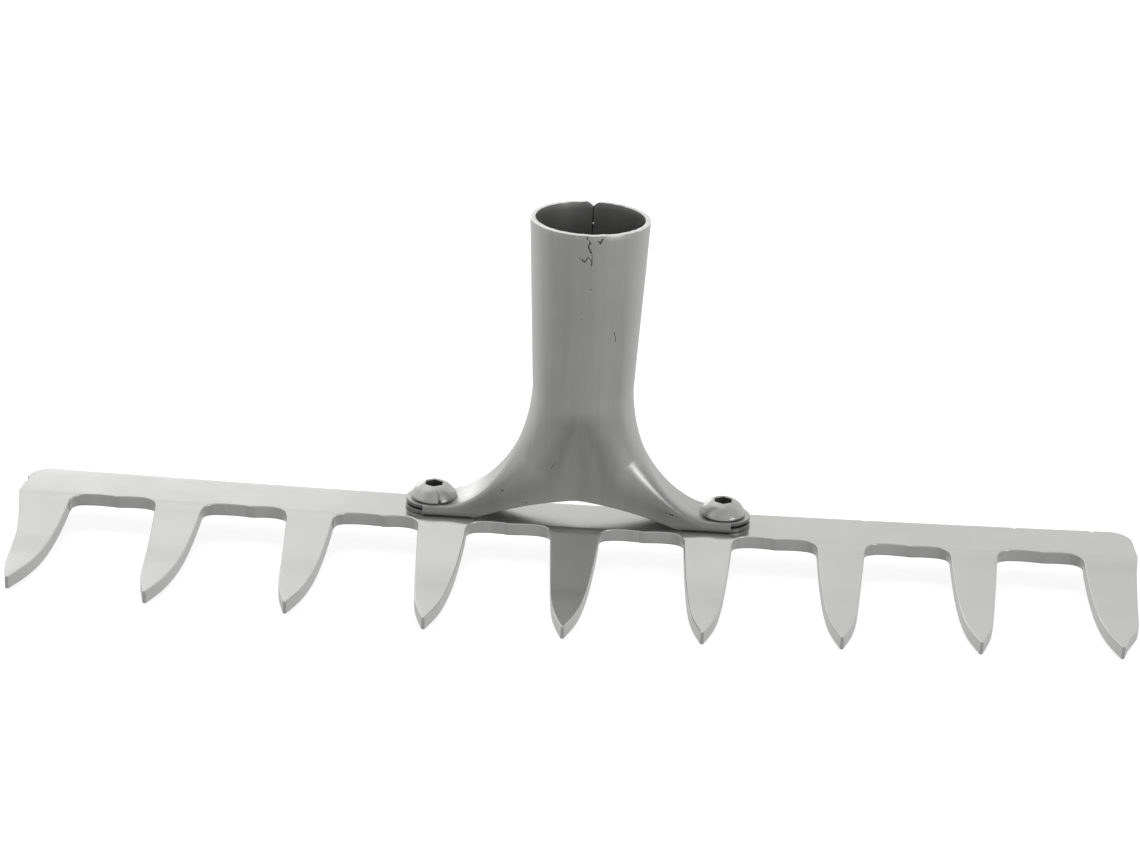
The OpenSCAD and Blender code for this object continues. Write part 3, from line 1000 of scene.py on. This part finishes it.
def make_world():
    """A pale studio: brighter behind, above and on the left, darker behind the camera and below.
    The camera, and rays that come through something clear, see plain white."""
    world = bpy.data.worlds.new("studio")
    bpy.context.scene.world = world
    world.use_nodes = True
    tree = world.node_tree
    tree.nodes.clear()
    place = tree.nodes.new("ShaderNodeTexCoord")
    split = tree.nodes.new("ShaderNodeSeparateXYZ")
    tree.links.new(place.outputs["Generated"], split.inputs["Vector"])

    def graded(axis, low, high, to_low, to_high):
        node = tree.nodes.new("ShaderNodeMapRange")
        node.interpolation_type = "SMOOTHSTEP"
        for key, value in zip(("From Min", "From Max", "To Min", "To Max"), (low, high, to_low, to_high)):
            node.inputs[key].default_value = value
        tree.links.new(split.outputs[axis], node.inputs["Value"])
        return node.outputs["Result"]

    def joined(kind, a, b):
        node = tree.nodes.new("ShaderNodeMath")
        node.operation = kind
        tree.links.new(a, node.inputs[0])
        tree.links.new(b, node.inputs[1])
        return node.outputs["Value"]

    leftward = graded("X", -0.4, 0.35, 1.14, 0.76)
    wall = joined("MULTIPLY", graded("Y", -0.4, 0.75, 0.0, 0.3), leftward)
    wall = joined("ADD", wall, graded("X", -0.6, 0.6, 0.46, 0.52))
    wall = joined("MULTIPLY", wall, graded("Z", -0.9, -0.25, 0.42, 1.1))
    behind = joined("MULTIPLY", graded("Z", 0.0, 0.3, 0.0, 0.93), graded("Y", 0.1, 0.6, 0.0, 1.0))
    ceiling = joined("MULTIPLY", graded("Z", 0.35, 0.75, 0.0, 1.02), graded("Y", -0.9, 0.4, 0.12, 1.0))
    ceiling = joined("MAXIMUM", ceiling, behind)
    light = joined("MAXIMUM", wall, joined("MULTIPLY", ceiling, leftward))
    room = tree.nodes.new("ShaderNodeBackground")
    room.inputs["Color"].default_value = WHITE
    tree.links.new(light, room.inputs["Strength"])
    white = tree.nodes.new("ShaderNodeBackground")
    white.inputs["Color"].default_value = WHITE
    path = tree.nodes.new("ShaderNodeLightPath")
    mix = tree.nodes.new("ShaderNodeMixShader")
    out = tree.nodes.new("ShaderNodeOutputWorld")
    seen = joined("MAXIMUM", path.outputs["Is Camera Ray"], path.outputs["Is Transmission Ray"])
    tree.links.new(seen, mix.inputs["Fac"])
    tree.links.new(room.outputs[0], mix.inputs[1])
    tree.links.new(white.outputs[0], mix.inputs[2])
    tree.links.new(mix.outputs[0], out.inputs["Surface"])


def make_camera():
    tilt, roll, yaw = radians(TILT), radians(ROLL), radians(YAW)
    ahead = Vector((sin(yaw) * cos(tilt), cos(yaw) * cos(tilt), -sin(tilt)))
    right = Vector((cos(yaw), -sin(yaw), 0.0))
    up = right.cross(ahead)
    side = right * cos(roll) + up * sin(roll)
    top = up * cos(roll) - right * sin(roll)
    data = bpy.data.cameras.new("camera")
    data.sensor_width = SENSOR
    data.lens = FOCAL * SENSOR / PHOTO_WIDTH
    data.shift_x = (PHOTO_WIDTH / 2 - CENTRE_X) / PHOTO_WIDTH
    data.clip_end = 50.0
    camera = bpy.data.objects.new("camera", data)
    place = Matrix((side, top, -ahead)).transposed().to_4x4()
    place.translation = Vector(CAMERA_PLACE) * MM
    camera.matrix_world = place
    bpy.context.scene.collection.objects.link(camera)
    bpy.context.scene.camera = camera


make_camera()
make_world()
make_floor()
for lamp in LAMPS:
    make_lamp(*lamp)

comb_steel = sheet_metal("comb_steel", light=0.64, dark=0.61, rough=0.2, grain_axis="X",
                         streaks=0.06, relief=0.003, wave=0.04)
cut_steel = sheet_metal("cut_edge_steel", light=0.63, dark=0.56, rough=0.36, grain_axis="Z",
                        streaks=0.5, relief=0.05)
socket_steel = sheet_metal("socket_steel", light=0.53, dark=0.46, rough=0.32, grain_axis="Z",
                           streaks=0.5, relief=0.05, marked_and_shaded=True)
# painted shade: the inside of the tube is the same steel given a much darker colour, for the shade inside it
inner_shade_steel = sheet_metal("inner_shade_steel", light=0.3, dark=0.26, rough=0.5, grain_axis="Z",
                          streaks=0.1, relief=0.01, wave=0.1, marked_and_shaded=True)
# painted highlight: the rim's upward faces and the weld drop get a much lighter colour than the wall
rim_highlight_steel = sheet_metal("rim_highlight_steel", light=0.85, dark=0.75, rough=0.22, grain_axis="X",
                        streaks=0.5, relief=0.02)
screw_steel = sheet_metal("screw_steel", light=0.55, dark=0.46, rough=0.26, grain_axis="Y",
                          streaks=0.2, relief=0.03)
# painted shade: the hex recess in each head is given a dark colour, as shade falls in it
recess_shade_steel = sheet_metal("recess_shade_steel", light=0.22, dark=0.14, rough=0.4, grain_axis="Z",
                           streaks=0.5, relief=0.05)

dress(make_comb(comb_steel, cut_steel), None, "comb_steel", "comb")

socket = make_socket()
dress(socket, socket_steel, "socket_steel", "socket")
paint(socket, inner_shade_steel, in_tube)
paint(socket, rim_highlight_steel, on_rim_or_bead)

for node, side, nick in (("left_screw", -1, radians(-69)), ("right_screw", 1, None)):
    x = side * SCREW_X
    screw = make_screw(node.replace("_", "_button_"), x, screw_steel, nick)
    dress(screw, screw_steel, "screw_steel", node)
    paint(screw, recess_shade_steel, in_recess(x))

bpy.context.scene.view_settings.view_transform = "Standard"
